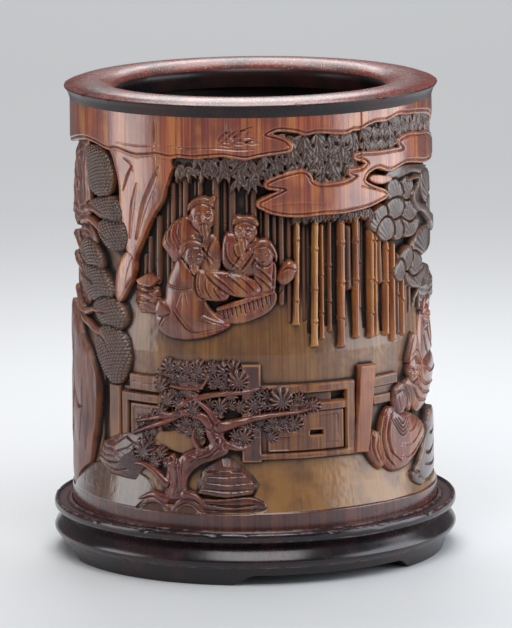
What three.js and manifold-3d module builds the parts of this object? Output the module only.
// A carved bamboo brush pot with a hardwood mouth rim and a hardwood foot.
// Millimetres, +Z up, the pot's axis on Z, the feet on z = 0 and the carved front facing -Y.
import * as THREE from "three";
import { mergeVertices } from "three/addons/utils/BufferGeometryUtils.js";
import Module from "manifold-3d";

// The culm, the length of bamboo that the pot is carved from
const CULM_BASE_RADIUS = 61.3;
const CULM_TOP_RADIUS = 60.1;
const CULM_BORE_RADIUS = 48.5;
const CULM_LENGTH = 137.0;

// The mouth rim, which is made of two half rings
const RIM_OVERHANG = 1.9;
const RIM_MOUTH_INSET = 3.9;
const RIM_BAND_HEIGHT = 4.3;
const RIM_DOME_HEIGHT = 1.6;
const RIM_CREST_SETBACK = 5.2;
const RIM_NOSE_DROP = 3.4;
const RIM_TONGUE_DEPTH = 3.5;
const RIM_TONGUE_SETBACK = 0.4;

// How the rim's curves share its sizes
const COVE_OVERHANG_SHARE = 0.4;
const COVE_HEIGHT_SHARE = 0.5;
const EDGE_HEIGHT_SHARE = 0.88;
const EDGE_SETBACK_SHARE = 0.3;
const DOME_SHOULDER_SHARE = 0.75;
const NOSE_SHOULDER_SHARE = 0.22;

// The foot: a turned plinth on three low bracket feet, its heights given from the floor up
const FOOT_WALL_HEIGHT = 6.3;
const TORUS_HEIGHT = 5.2;
const WAIST_HEIGHT = 3.5;
const LIP_THICKNESS = 2.9;
const LIP_PROJECTION = 6.2;
const LIP_EDGE_SETBACK = 0.4;
const LIP_BEAD_WIDTH = 1.2;
const LIP_BEAD_HEIGHT = 1.0;
const FILLET_WIDTH = 1.4;
const TORUS_PROJECTION = 6.2;
const TORUS_UNDERCUT = 1.1;
const WAIST_PROJECTION = 2.3;
const WAIST_FLARE = 0.5;
const FOOT_PROJECTION = 2.0;
const FOOT_FLARE = 2.2;
const FOOT_RING_WIDTH = 7.0;
const FOOT_SHOULDER_GAP = 0.1;
const LEDGE_WIDTH = 8.5;
const REBATE_DEPTH = 2.0;
const UNDERSIDE_RECESS = 5.0;

// How the foot's curves share its sizes
const TORUS_BELLY_SHARE = 0.42;
const WAIST_NARROWEST_SHARE = 0.7;
const FOOT_FLARE_SHARE = 0.6;
const FOOT_FLARE_HEIGHT_SHARE = 0.3;
const LIP_ROUND_SHARE = 0.5;
const BEAD_CREST_SHARE = 0.3;
const FILLET_SLOPE_SHARE = 0.6;

// The bracket feet
const FOOT_COUNT = 3;
const FOOT_RISE = 3.4;
const FOOT_SPAN_DEG = 58.0;
const BRACKET_SPAN_DEG = 7.5;
const FIRST_FOOT_DEG = -37.0;

// The floor board inside the culm
const FLOOR_THICKNESS = 5.0;

// Clearance on the radius where one wooden part is let into another
const FIT = 0.3;

// Facets round the axis, and steps along each curve of a turned section
const ROUND_SEGMENTS = 60;
const WALL_SEGMENTS = 48;
const BAND_STEPS = 3;
const DOME_STEPS = 8;
const FLANK_STEPS = 7;

// Corners nearer than this are one corner
const WELD = 0.005;

// The carving is cut from the culm's skin. Its levels are heights over the deepest ground.
const SKIN_LEVEL = 5.2;
const BAND_LEVEL = 5.1;
const CLOUD_LEVEL = 4.95;
const HIGH_LEVEL = 4.8;
const FIGURE_LEVEL = 4.4;
const MASS_LEVEL = 4.1;
const LEAF_LEVEL = 3.8;
const RAIL_LEVEL = 3.5;
const PANEL_LEVEL = 2.8;
const SCREEN_LEVEL = 1.3;
const FOOT_BAND_TOP_Z = 22.3;
const PLAIN_SKIN_Z = 151.4;
const BAND_OVERLAP_Z = 152.2;

// The ground between those two bands, as [height over the floor, level]
const GROUND_PROFILE = [
  [22.8, 4.8], [31, 3.0], [45, 1.5], [75.4, 2.2], [97.2, 0.2], [151.2, 0.2],
];

// Outlines on the unrolled wall: [mm round the wall to the right of its front, mm over the floor].
// The skin's lower edge under the plain band at the top, all the way round
const BAND_EDGE = [
  [-190.7, 141], [-170, 141.6], [-160, 143], [-140, 140.4], [-120, 143], [-98, 139.6], [-80, 141.5],
  [-68, 142.9], [-55, 141.2], [-41, 140], [-28, 140.3], [-10, 141.4], [2, 141.2], [12.2, 142.8],
  [4, 147.2], [11, 149.4], [32, 147.3], [45, 150], [62, 150.8], [80, 149], [100, 143.6], [110, 141.6],
  [134, 144], [158, 140.6], [190.7, 141],
];

// Clouds and banks of leaves
const CLOUDS = [
  [[3.4, 125.3], [9.8, 129.3], [5.8, 130.8], [13.6, 134.6], [19.6, 133.2], [20.2, 130.6], [32, 129.4],
    [39.6, 133.4], [40.4, 130], [48.6, 126.5], [37.6, 123.6], [24, 122.4], [8.4, 123.5]],
  [[39.4, 132.6], [39.8, 138], [54, 138.2], [68, 141], [82, 140.6], [83, 132.6], [62, 135.4],
    [49, 135]],
  [[81, 132.6], [81, 140.4], [94, 137.4], [98, 133]],
  [[122, 118], [128, 121.4], [143, 123.4], [158, 119.6], [165, 120.8], [170, 117.4], [163, 114.6],
    [146, 113.4], [138, 115.2], [130, 113.8]],
  [[196, 129], [203, 132.6], [218, 134.8], [236, 131], [245, 131.8], [251, 128.6], [243, 125.6],
    [224, 123.8], [204, 124.8]],
  [[176, 104], [182, 107.4], [197, 108.8], [204, 106.2], [209, 103], [201, 100.6], [184, 99.6]],
];
const LEAF_BANKS = [
  [[-27, 142], [-25, 133], [-14, 134], [-5, 133], [0, 132], [9, 135.6], [9, 150.2], [0, 143]],
  [[8, 135.4], [15, 136], [21, 131], [33, 131], [39, 136], [36, 139], [47, 139.8], [47, 151.8],
    [8, 150]],
  [[46, 139.8], [57, 141.6], [70, 143.6], [84, 143], [84, 151], [46, 151.8]],
  [[83, 143], [98, 139.4], [101, 145], [90, 150], [83, 151]],
  [[190, 126], [200, 121.4], [217, 119.8], [228, 122], [228, 138.4], [210, 139.6], [194, 136.4]],
  [[227, 121.6], [236, 119.6], [246, 122.8], [256, 120.2], [264, 124], [266, 136], [250, 139.4],
    [227, 138.2]],
];

// The cliff, the stool of rock and the other rocks
const CLIFF = [
  [-26.5, 141], [-28, 134], [-31, 125.5], [-37.5, 115.5], [-43.5, 105], [-45, 99], [-51, 90.5],
  [-54, 93], [-52, 103], [-48, 112], [-50.5, 128], [-54, 141],
];
const ROCK_STOOL = [
  [-45, 90.5], [-44, 97], [-38.2, 101], [-33.6, 98.9], [-33, 92], [-35.5, 87.6], [-42.5, 87.4],
];
const BOULDERS = [
  [[-64.5, 50], [-65, 66], [-75, 76], [-80, 81.5], [-90, 85.5], [-101, 83], [-108, 74], [-111, 58],
    [-108, 40], [-100, 28], [-88, 24.4], [-77, 26.8], [-70, 32]],
  [[112, 24.5], [110, 34], [116, 41], [125, 44], [132, 38], [135, 30], [131, 24.6]],
  [[166, 24.6], [168, 33], [175, 39.6], [184, 41], [190, 35], [192, 28], [187, 24.4]],
  [[238, 24.6], [240, 34], [248, 42], [258, 43], [265, 36], [266, 28], [260, 24.2]],
];
const ROCKS = [
  [[-67, 28], [-61, 42.6], [-54, 45.6], [-40, 48.6], [-38, 45.4], [-40, 38], [-36, 31], [-40, 24.6],
    [-50, 23.2], [-62, 23.8]],
  [[-20.4, 28.6], [-18.4, 37], [-10.4, 42.6], [-4, 37.6], [1.4, 32.4], [3, 26.6], [0, 24], [-18, 23.8]],
  [[65, 30.6], [74.4, 40.8], [79, 46.6], [90, 48], [103, 44], [107, 33], [98, 26], [84, 25],
    [72, 25.6]],
  [[74, 83], [75, 93], [84, 96], [97, 95], [100, 86], [90, 81]],
  [[184.5, 24.6], [187, 31], [193, 34], [200, 31.6], [203, 26.8], [199, 24.2]],
];

// Trees: trunks, and clumps of leaves as outlines or as ovals [across, height, half width, half height]
const TRUNKS = [
  [[-70, 140.2], [-86, 137], [-92, 122], [-88, 110], [-94, 98], [-92, 86], [-78, 84], [-67, 92],
    [-66, 106], [-72, 113], [-70.5, 128]],
  [[50, 130.6], [60, 133.2], [72, 132.4], [90, 129], [98, 126], [98, 110], [84, 105], [68, 108],
    [56, 118]],
];
const PINE_TRUNKS = [
  [[-36, 26.2], [-31.2, 35], [-30.4, 40.8], [-25.4, 41.8], [-18, 44.6], [-16.6, 52.4], [-13, 54.6],
    [-9.8, 52.6], [-8.4, 46], [-13.4, 40.8], [-21.8, 36.2], [-22.6, 29], [-17, 23.2], [-29, 25.4],
    [-42, 23]],
  [[147, 24], [146, 36], [142.8, 50], [145, 64], [152, 78], [156, 91], [153, 103], [157, 103],
    [160, 90], [157, 76], [149.4, 64], [147.6, 50], [152, 36], [156, 24]],
];
const BEADED_CLUMPS = [
  [[-82, 105], [-74, 108.6], [-66, 107], [-61.5, 103.5], [-61.5, 99.5], [-68, 98.5], [-77, 100.5]],
  [[-71, 139], [-62, 140.3], [-57, 138], [-53.6, 132], [-55, 126], [-59, 123.5], [-66, 124],
    [-70, 128]],
  [[-70, 121.5], [-60, 124], [-53, 124.4], [-49.2, 121], [-49, 117.4], [-60, 116], [-70, 118.5]],
  [[-64, 113], [-60, 116.5], [-48, 116.5], [-46.2, 112], [-48, 108], [-53, 106.2], [-59, 108]],
  [[-79, 99], [-62, 100], [-57, 97], [-53.6, 93.5], [-56, 90.2], [-63, 88.6], [-73, 89.5]],
  [[-67, 87], [-59, 91], [-51, 89.8], [-47.4, 85.5], [-49, 81.6], [-61, 81]],
  [[-66, 77], [-60, 81.4], [-47.8, 78.4], [-45.6, 72.4], [-47.5, 66.2], [-52, 62.2], [-56.5, 63],
    [-63, 69]],
];
const BROAD_LEAVES = [
  [79, 105.6, 13, 4], [73, 94.2, 11, 2.9], [63.5, 118.4, 6.6, 3.6], [63, 125.4, 3.7, 3.1],
  [55.5, 125.5, 3.7, 3.1], [56.6, 113, 2.8, 3.5], [55.2, 119.5, 4.9, 2.5], [47, 117, 3.8, 3.7],
  [60.5, 99.6, 4.6, 4], [86, 122, 8, 5],
];
const NEEDLE_MASSES = [
  [-37.6, 41.4, 7.6, 4.8], [-25, 66.6, 10.4, 7.8], [-9.4, 67.6, 8, 6.4], [-35, 52.8, 9.8, 3.8],
  [-20.6, 51.6, 7.4, 4.6], [4.4, 51.8, 11, 4], [-15, 58.8, 13.6, 3.4], [8.6, 59.6, 12.8, 4.6],
  [128, 84, 14.6, 7], [172, 83, 15.6, 7], [132, 102, 12.6, 6.8], [178, 95, 12.6, 5.6],
  [150, 110, 13.6, 6.6],
];

// Figures: robes, then heads as ovals
const LOW_ROBES = [
  [[-32.8, 110.8], [-31.5, 114.5], [-25, 119.8], [-19, 116], [-11.4, 112], [-10.8, 106], [-13, 101],
    [-20, 100], [-27, 104]],
  [[-9.2, 115.5], [-10.8, 110], [-10.3, 104.5], [-1, 101], [3, 103], [3.6, 108], [2, 113.5]],
  [[71.5, 66], [74, 81], [77, 86.4], [82, 86.8], [85, 82.6], [98, 74], [99, 64], [76, 60]],
];
const ROBES = [
  [[-25.6, 107], [-30.6, 98], [-31.4, 93], [-35, 88.6], [-35.2, 84.6], [-31.4, 81], [-25, 79.8],
    [-12, 82.6], [-8, 85.2], [-15.5, 91.5], [-16.2, 101]],
  [[-18.8, 103.4], [-12.2, 99], [-8.2, 95.6], [-14.5, 92.9], [-20, 98.4]],
  [[-15.4, 102.2], [-6.5, 102.4], [2.6, 97.4], [-4.5, 94.2], [-12.6, 98.8]],
  [[-0.5, 105.5], [1.2, 97], [6.6, 95.4], [7.7, 104], [2, 107.5]],
  [[7.9, 99.8], [11.6, 106.2], [14.8, 103.2], [10, 97.8]],
  [[60.2, 61], [64.4, 52.4], [69, 49.6], [88, 56.4], [98, 60.2], [94, 66.2], [72, 68], [66.5, 76.6],
    [61.4, 67.2]],
  [[46.6, 36.6], [45.4, 46], [50.2, 54.4], [58.6, 53.2], [70, 47.5], [75, 44], [68, 36], [60, 32.6],
    [51, 32.6]],
  [[40, 40.6], [43, 47.4], [46.8, 42], [48.4, 36], [42.2, 36.6]],
  [[204, 88], [200, 72], [196.4, 46], [201, 40.2], [217, 40.6], [221, 46], [218.6, 70], [213.6, 88]],
  [[231, 72], [227.4, 56], [226.4, 46], [231, 41.8], [238, 41.2], [243, 45.6], [241.6, 58], [237, 73]],
];
const HEADS = [
  [-17.4, 121.6, 4.5, 6], [-2.6, 117, 4.2, 4.6], [3.8, 109, 4, 4.6], [-20.6, 108.6, 4.4, 4.8],
  [57.4, 56.4, 5, 5.2], [209, 94, 5, 6.4], [234.4, 78, 4.4, 6],
];
const TABLE = [[-13, 89.4], [6.5, 96.4], [8.2, 93.8], [1, 87.2], [-11, 86]];

// Fences: bars as [left, foot, right, top]
const POST_BARS = [[-4.5, 40, 2, 72.3]];
const LEANING_POST = [[37, 69.8], [44, 69.6], [40.3, 40.6], [34.6, 41]];
const RAIL_BARS = [
  [-46.5, 65.9, -32, 67.4], [-48, 59.9, -31, 61.3], [-50.2, 45.2, -47.2, 62], [-56.5, 44.2, -51, 63],
  [1.8, 62.3, 35.3, 65.3], [31.8, 41.2, 35.3, 65.1], [1.6, 40.8, 35.1, 42.8], [12, 56.4, 32, 58.9],
  [44.4, 63.7, 57, 65.3], [44.8, 58.6, 52, 60.2],
];
const PANEL_BARS = [[-46.2, 45.4, -26, 57.6], [4.9, 43.4, 29.8, 56.2]];
const BACK_RAILS = [[63.4, 65.6], [57.4, 59.4], [41.4, 43.8]];
const BACK_FENCE = { left: 118, pitch: 18, count: 8, post: 4.2, foot: 40, top: 68.6, overhang: 6 };

// Bamboo stalks as [across, foot, top, width]
const GROVE = [
  [15.4, 84.5, 121, 2.2], [21.8, 77.2, 121, 2.3], [27.2, 81.4, 121, 1.8], [31.1, 76.3, 121, 2.6],
  [37.1, 78.7, 121, 2.2], [43.8, 78.2, 119, 2.2], [48.4, 90, 112, 2], [51.4, 78, 113, 2],
  [55, 75.5, 108, 2], [61, 76.5, 97, 2],
];
const SCREEN = [
  [-34.6, 98, 118, 2.2], [-28.8, 98, 130, 2.2], [-24, 98, 136, 2.2], [-18.4, 98, 136.4, 2.2],
  [-13, 98, 137, 2.8], [-7.2, 98, 136, 2.8], [0.2, 98, 134.6, 2.4], [5, 93, 124, 2.2],
  [9.8, 92, 124, 2.2],
];
const BACK_GROVE = { left: 199, pitch: 9.2, count: 7, width: 2.8, foot: 70, top: 122 };

// Corners of a round outline, and the widest stretch of wall that one straight-sided cutter spans
const OVAL_CORNERS = 8;
const WIDEST_CUTTER = 42;
const CUTTER_INSIDE_RADIUS = 45;
const CUTTER_OUTSIDE_RADIUS = 76;
// How far under the deepest ground the carving's masses are rooted in the wall
const RELIEF_ROOT_DEPTH = 0.3;

// Heights and radii that follow
const TORUS_BASE_Z = FOOT_WALL_HEIGHT;
const WAIST_BASE_Z = TORUS_BASE_Z + TORUS_HEIGHT;
const LIP_BASE_Z = WAIST_BASE_Z + WAIST_HEIGHT;
const PLINTH_TOP_Z = LIP_BASE_Z + LIP_THICKNESS;
const CULM_SEAT_Z = PLINTH_TOP_Z - REBATE_DEPTH;
const CULM_TOP_Z = CULM_SEAT_Z + CULM_LENGTH;
const RIM_EDGE_Z = CULM_TOP_Z + RIM_BAND_HEIGHT;
const MEAN_CULM_RADIUS = (CULM_BASE_RADIUS + CULM_TOP_RADIUS) / 2;

const HARDWOOD = { color: 0x2a1613, roughness: 0.35, metalness: 0 };
const WORN_HARDWOOD = { color: 0x4a211a, roughness: 0.45, metalness: 0 };
const BAMBOO = { color: 0x7d3f1c, roughness: 0.4, metalness: 0 };
const BOARD = { color: 0x1d1210, roughness: 0.7, metalness: 0 };

const wasm = await Module();
wasm.setup();

// A solid of revolution about Z, from [radius, height] points that go up the outside.
// A turn of 0 faces -Y, and turns run anticlockwise seen from above.
function turned(section, start = 0, sweep = Math.PI * 2, segments = ROUND_SEGMENTS) {
  const points = section.map(([radius, height]) => new THREE.Vector2(radius, height));
  const lathe = new THREE.LatheGeometry([...points, points[0]], segments, start, sweep);
  return lathe.rotateX(Math.PI / 2);
}

// The same for the culm, whose carved wall has fewer facets.
function turnedWall(section) {
  return turned(section, 0, Math.PI * 2, WALL_SEGMENTS);
}

// Points along a smooth curve through the given [radius, height] points, ends included.
function eased(points, steps) {
  const curve = new THREE.SplineCurve(points.map(([x, y]) => new THREE.Vector2(x, y)));
  return curve.getPoints(steps).map((p) => [p.x, p.y]);
}

// The same geometry with each shared corner as one vertex.
function welded(geometry) {
  geometry.deleteAttribute("normal");
  geometry.deleteAttribute("uv");
  return mergeVertices(geometry, WELD);
}

// A named mesh from a closed geometry.
function piece(name, geometry, finish) {
  const solid = welded(geometry);
  solid.computeVertexNormals();
  const mesh = new THREE.Mesh(solid, new THREE.MeshStandardMaterial(finish));
  mesh.name = name;
  return mesh;
}

// A closed geometry as a solid that can be joined and cut, and back again.
function solidOf(geometry) {
  const closed = welded(geometry);
  const vertProperties = new Float32Array(closed.getAttribute("position").array);
  const triVerts = new Uint32Array(closed.getIndex().array);
  return new wasm.Manifold(new wasm.Mesh({ numProp: 3, vertProperties, triVerts }));
}

function geometryOf(solid) {
  const { vertProperties, triVerts } = solid.getMesh();
  const geometry = new THREE.BufferGeometry();
  geometry.setAttribute("position", new THREE.BufferAttribute(vertProperties, 3));
  return geometry.setIndex(new THREE.BufferAttribute(triVerts, 1));
}

// The radius of the uncut skin at a height.
function skinRadius(z) {
  return THREE.MathUtils.mapLinear(z, CULM_SEAT_Z, CULM_TOP_Z, CULM_BASE_RADIUS, CULM_TOP_RADIUS);
}

// A cutter with radial sides that reaches through the wall under an outline on it.
function radialCutter(outline) {
  const corners = outline.map(([across, height]) => new THREE.Vector2(across, height));
  if (THREE.ShapeUtils.isClockWise(corners)) corners.reverse();
  const count = corners.length;
  const places = [CUTTER_INSIDE_RADIUS, CUTTER_OUTSIDE_RADIUS].flatMap((radius) =>
    corners.flatMap(({ x: across, y: height }) => {
      const turn = across / MEAN_CULM_RADIUS;
      return [radius * Math.sin(turn), -radius * Math.cos(turn), height];
    }),
  );
  const caps = THREE.ShapeUtils.triangulateShape(corners, []).flatMap(([a, b, c]) => [
    a, c, b, a + count, b + count, c + count,
  ]);
  const sides = corners.flatMap((_, here) => {
    const next = (here + 1) % count;
    return [here, next, next + count, here, next + count, here + count];
  });
  const geometry = new THREE.BufferGeometry();
  geometry.setAttribute("position", new THREE.Float32BufferAttribute(places, 3));
  return solidOf(geometry.setIndex([...caps, ...sides]));
}

// Everything that stands at one level: the wall at that level, kept only under the outlines.
function relief(level, outlines) {
  const depth = SKIN_LEVEL - level;
  const rootDepth = SKIN_LEVEL + RELIEF_ROOT_DEPTH;
  const ring = solidOf(turnedWall([
    [CULM_BASE_RADIUS - rootDepth, CULM_SEAT_Z],
    [CULM_BASE_RADIUS - depth, CULM_SEAT_Z],
    [CULM_TOP_RADIUS - depth, CULM_TOP_Z],
    [CULM_TOP_RADIUS - rootDepth, CULM_TOP_Z],
  ]));
  return ring.intersect(outlines.map(radialCutter).reduce((joined, next) => joined.add(next)));
}

// Outlines for ovals, for bars, and for a long bar as pieces that one cutter can span.
function oval([across, height, halfWidth, halfHeight]) {
  return Array.from({ length: OVAL_CORNERS }, (_, k) => {
    const turn = (2 * Math.PI * (k + 0.5)) / OVAL_CORNERS;
    return [across + halfWidth * Math.cos(turn), height + halfHeight * Math.sin(turn)];
  });
}

function bar([left, foot, right, top]) {
  return [[left, foot], [right, foot], [right, top], [left, top]];
}

function longBar(left, foot, right, top) {
  const count = Math.ceil((right - left) / WIDEST_CUTTER);
  const length = (right - left) / count;
  return Array.from({ length: count }, (_, k) =>
    bar([left + k * length, foot, left + (k + 1) * length, top]),
  );
}

function stalk([across, foot, top, width]) {
  return bar([across - width / 2, foot, across + width / 2, top]);
}

// The skin over the wavy edge, one outline for each stretch between two of the edge's points.
function bandOutlines() {
  return BAND_EDGE.slice(1).map((corner, k) => {
    const [left, right] = [BAND_EDGE[k], corner];
    return [left, right, [right[0], BAND_OVERLAP_Z], [left[0], BAND_OVERLAP_Z]];
  });
}

function backFence() {
  const { left, pitch, count, post, foot, top, overhang } = BACK_FENCE;
  const right = left + pitch * count;
  const rails = BACK_RAILS.flatMap(([low, high]) => longBar(left - overhang, low, right, high));
  const posts = Array.from({ length: count }, (_, k) =>
    bar([left + k * pitch, foot, left + k * pitch + post, top]),
  );
  return [...rails, ...posts];
}

function backGrove() {
  const { left, pitch, count, width, foot, top } = BACK_GROVE;
  return Array.from({ length: count }, (_, k) => stalk([left + k * pitch, foot, top, width]));
}

// The culm: a slightly tapering tube of bamboo that stands in the plinth's rebate. Its skin is cut away
// to a ground that slopes, and the garden, the figures and the clouds stand on that ground.
function bambooWall() {
  const ground = GROUND_PROFILE.map(([z, level]) => [skinRadius(z) - SKIN_LEVEL + level, z]);
  const tube = solidOf(turnedWall([
    [CULM_BORE_RADIUS, CULM_SEAT_Z],
    [CULM_BASE_RADIUS, CULM_SEAT_Z],
    [skinRadius(FOOT_BAND_TOP_Z), FOOT_BAND_TOP_Z],
    ...ground,
    [skinRadius(PLAIN_SKIN_Z), PLAIN_SKIN_Z],
    [CULM_TOP_RADIUS, CULM_TOP_Z],
    [CULM_BORE_RADIUS, CULM_TOP_Z],
  ]));
  const carving = [
    relief(SCREEN_LEVEL, SCREEN.map(stalk)),
    relief(PANEL_LEVEL, [...PANEL_BARS.map(bar), ...TRUNKS, ...backGrove()]),
    relief(RAIL_LEVEL, [...RAIL_BARS.map(bar), ...backFence(), ...LOW_ROBES, ROCK_STOOL, TABLE]),
    relief(LEAF_LEVEL, [...LEAF_BANKS, ...NEEDLE_MASSES.map(oval), ...BROAD_LEAVES.map(oval)]),
    relief(MASS_LEVEL, [CLIFF, ...BEADED_CLUMPS, ...GROVE.map(stalk), ...POST_BARS.map(bar)]),
    relief(FIGURE_LEVEL, [...ROBES, ...ROCKS]),
    relief(HIGH_LEVEL, [...HEADS.map(oval), ...BOULDERS, ...PINE_TRUNKS, LEANING_POST]),
    relief(CLOUD_LEVEL, CLOUDS),
    relief(BAND_LEVEL, bandOutlines()),
  ];
  const carved = carving.reduce((wall, layer) => wall.add(layer), tube);
  return piece("bamboo_wall", geometryOf(carved), BAMBOO);
}

// The rim's section: a coved band over the culm's edge, a low dome whose crest is near the mouth,
// a rounded nose into the mouth and a tongue that drops inside the culm.
function rimSection() {
  const outerRadius = CULM_TOP_RADIUS + RIM_OVERHANG;
  const mouthRadius = CULM_BORE_RADIUS - RIM_MOUTH_INSET;
  const crestRadius = mouthRadius + RIM_CREST_SETBACK;
  const tongueInside = mouthRadius + RIM_TONGUE_SETBACK;
  const tongueOutside = CULM_BORE_RADIUS - FIT;
  const tongueBaseZ = CULM_TOP_Z - RIM_TONGUE_DEPTH;
  const crestZ = RIM_EDGE_Z + RIM_DOME_HEIGHT;
  const band = eased(
    [
      [CULM_TOP_RADIUS, CULM_TOP_Z],
      [
        CULM_TOP_RADIUS + RIM_OVERHANG * COVE_OVERHANG_SHARE,
        CULM_TOP_Z + RIM_BAND_HEIGHT * COVE_HEIGHT_SHARE,
      ],
      [outerRadius, CULM_TOP_Z + RIM_BAND_HEIGHT * EDGE_HEIGHT_SHARE],
    ],
    BAND_STEPS,
  );
  const dome = eased(
    [
      [outerRadius - RIM_OVERHANG * EDGE_SETBACK_SHARE, RIM_EDGE_Z],
      [(outerRadius + crestRadius) / 2, RIM_EDGE_Z + RIM_DOME_HEIGHT * DOME_SHOULDER_SHARE],
      [crestRadius, crestZ],
      [(crestRadius + mouthRadius) / 2, crestZ - RIM_NOSE_DROP * NOSE_SHOULDER_SHARE],
      [mouthRadius, crestZ - RIM_NOSE_DROP],
    ],
    DOME_STEPS,
  );
  return [
    [tongueInside, tongueBaseZ],
    [tongueOutside, tongueBaseZ],
    [tongueOutside, CULM_TOP_Z],
    ...band,
    ...dome,
    [mouthRadius, CULM_TOP_Z],
  ];
}

// A flat face that closes a half ring at a turn, as loose triangles.
function ringEnd(section, turn, reversed) {
  const outline = section.map(([radius, height]) => new THREE.Vector2(radius, height));
  const corners = THREE.ShapeUtils.triangulateShape(outline, []).flat();
  const order = reversed ? corners.reverse() : corners;
  return order.flatMap((index) => {
    const { x: radius, y: height } = outline[index];
    return [radius * Math.sin(turn), -radius * Math.cos(turn), height];
  });
}

// One half of the rim: half a turn of the section, closed at both cut ends.
function rimHalf(name, start) {
  const section = rimSection();
  const sweep = turned(section, start, Math.PI, ROUND_SEGMENTS / 2).toNonIndexed();
  const corners = [
    ...sweep.getAttribute("position").array,
    ...ringEnd(section, start, false),
    ...ringEnd(section, start + Math.PI, true),
  ];
  const geometry = new THREE.BufferGeometry();
  geometry.setAttribute("position", new THREE.Float32BufferAttribute(corners, 3));
  return piece(name, geometry, WORN_HARDWOOD);
}

// How far the foot ring's underside rises at a turn in degrees: nothing under a foot,
// FOOT_RISE between two feet, with an S-shaped bracket at each foot's end.
function archRise(turn) {
  const pitch = 360 / FOOT_COUNT;
  const pastFoot = THREE.MathUtils.euclideanModulo(turn - FIRST_FOOT_DEG, pitch);
  const fromFoot = Math.min(pastFoot, pitch - pastFoot);
  const alongBracket = (fromFoot - FOOT_SPAN_DEG / 2) / BRACKET_SPAN_DEG;
  return FOOT_RISE * THREE.MathUtils.smoothstep(alongBracket, 0, 1);
}

// The plinth: a lip with a raised bead and a fillet that hugs the culm, a hollow waist,
// a torus, and a foot ring whose underside is cut into low arches between the feet.
function basePlinth() {
  const rebateRadius = CULM_BASE_RADIUS + FIT;
  const lipRadius = CULM_BASE_RADIUS + LIP_PROJECTION;
  const torusRadius = CULM_BASE_RADIUS + TORUS_PROJECTION;
  const waistRadius = CULM_BASE_RADIUS + WAIST_PROJECTION;
  const footRadius = CULM_BASE_RADIUS + FOOT_PROJECTION;
  const ringInside = footRadius - FOOT_RING_WIDTH;
  const boreRadius = CULM_BORE_RADIUS - LEDGE_WIDTH;
  const dishZ = PLINTH_TOP_Z - LIP_BEAD_HEIGHT;
  const flareZ = FOOT_RISE + (FOOT_WALL_HEIGHT - FOOT_RISE) * FOOT_FLARE_HEIGHT_SHARE;
  const flank = eased(
    [
      [torusRadius - TORUS_UNDERCUT, TORUS_BASE_Z],
      [torusRadius, TORUS_BASE_Z + TORUS_HEIGHT * TORUS_BELLY_SHARE],
      [(torusRadius + waistRadius) / 2, WAIST_BASE_Z],
      [waistRadius, WAIST_BASE_Z + WAIST_HEIGHT * WAIST_NARROWEST_SHARE],
      [waistRadius + WAIST_FLARE, LIP_BASE_Z],
    ],
    FLANK_STEPS,
  );
  const section = [
    [boreRadius, UNDERSIDE_RECESS],
    [ringInside, UNDERSIDE_RECESS],
    [ringInside, 0],
    [footRadius, 0],
    [footRadius + FOOT_FLARE * FOOT_FLARE_SHARE, flareZ],
    [footRadius + FOOT_FLARE, FOOT_WALL_HEIGHT - FOOT_SHOULDER_GAP],
    ...flank,
    [lipRadius - LIP_EDGE_SETBACK, LIP_BASE_Z],
    [lipRadius, LIP_BASE_Z + LIP_THICKNESS * LIP_ROUND_SHARE],
    [lipRadius - LIP_BEAD_WIDTH * BEAD_CREST_SHARE, PLINTH_TOP_Z],
    [lipRadius - LIP_BEAD_WIDTH, dishZ],
    [rebateRadius + FILLET_WIDTH, dishZ],
    [rebateRadius + FILLET_WIDTH * FILLET_SLOPE_SHARE, PLINTH_TOP_Z],
    [rebateRadius, PLINTH_TOP_Z],
    [rebateRadius, CULM_SEAT_Z],
    [boreRadius, CULM_SEAT_Z],
  ];
  const geometry = turned(section);
  const place = geometry.getAttribute("position");
  for (let i = 0; i < place.count; i++) {
    if (place.getZ(i) > FOOT_RISE / 2) continue;
    const turn = THREE.MathUtils.radToDeg(Math.atan2(place.getX(i), -place.getY(i)));
    place.setZ(i, archRise(turn));
  }
  return piece("base_plinth", geometry, HARDWOOD);
}

// The floor: a round board let into the culm's bore, lying on the plinth's ledge.
function floorBoard() {
  const radius = CULM_BORE_RADIUS - FIT;
  const section = [
    [0, CULM_SEAT_Z],
    [radius, CULM_SEAT_Z],
    [radius, CULM_SEAT_Z + FLOOR_THICKNESS],
    [0, CULM_SEAT_Z + FLOOR_THICKNESS],
  ];
  return piece("floor_board", turned(section), BOARD);
}

const brushPot = new THREE.Group();
brushPot.add(
  basePlinth(),
  floorBoard(),
  bambooWall(),
  rimHalf("rim_front_half", -Math.PI / 2),
  rimHalf("rim_back_half", Math.PI / 2),
);

export default brushPot;
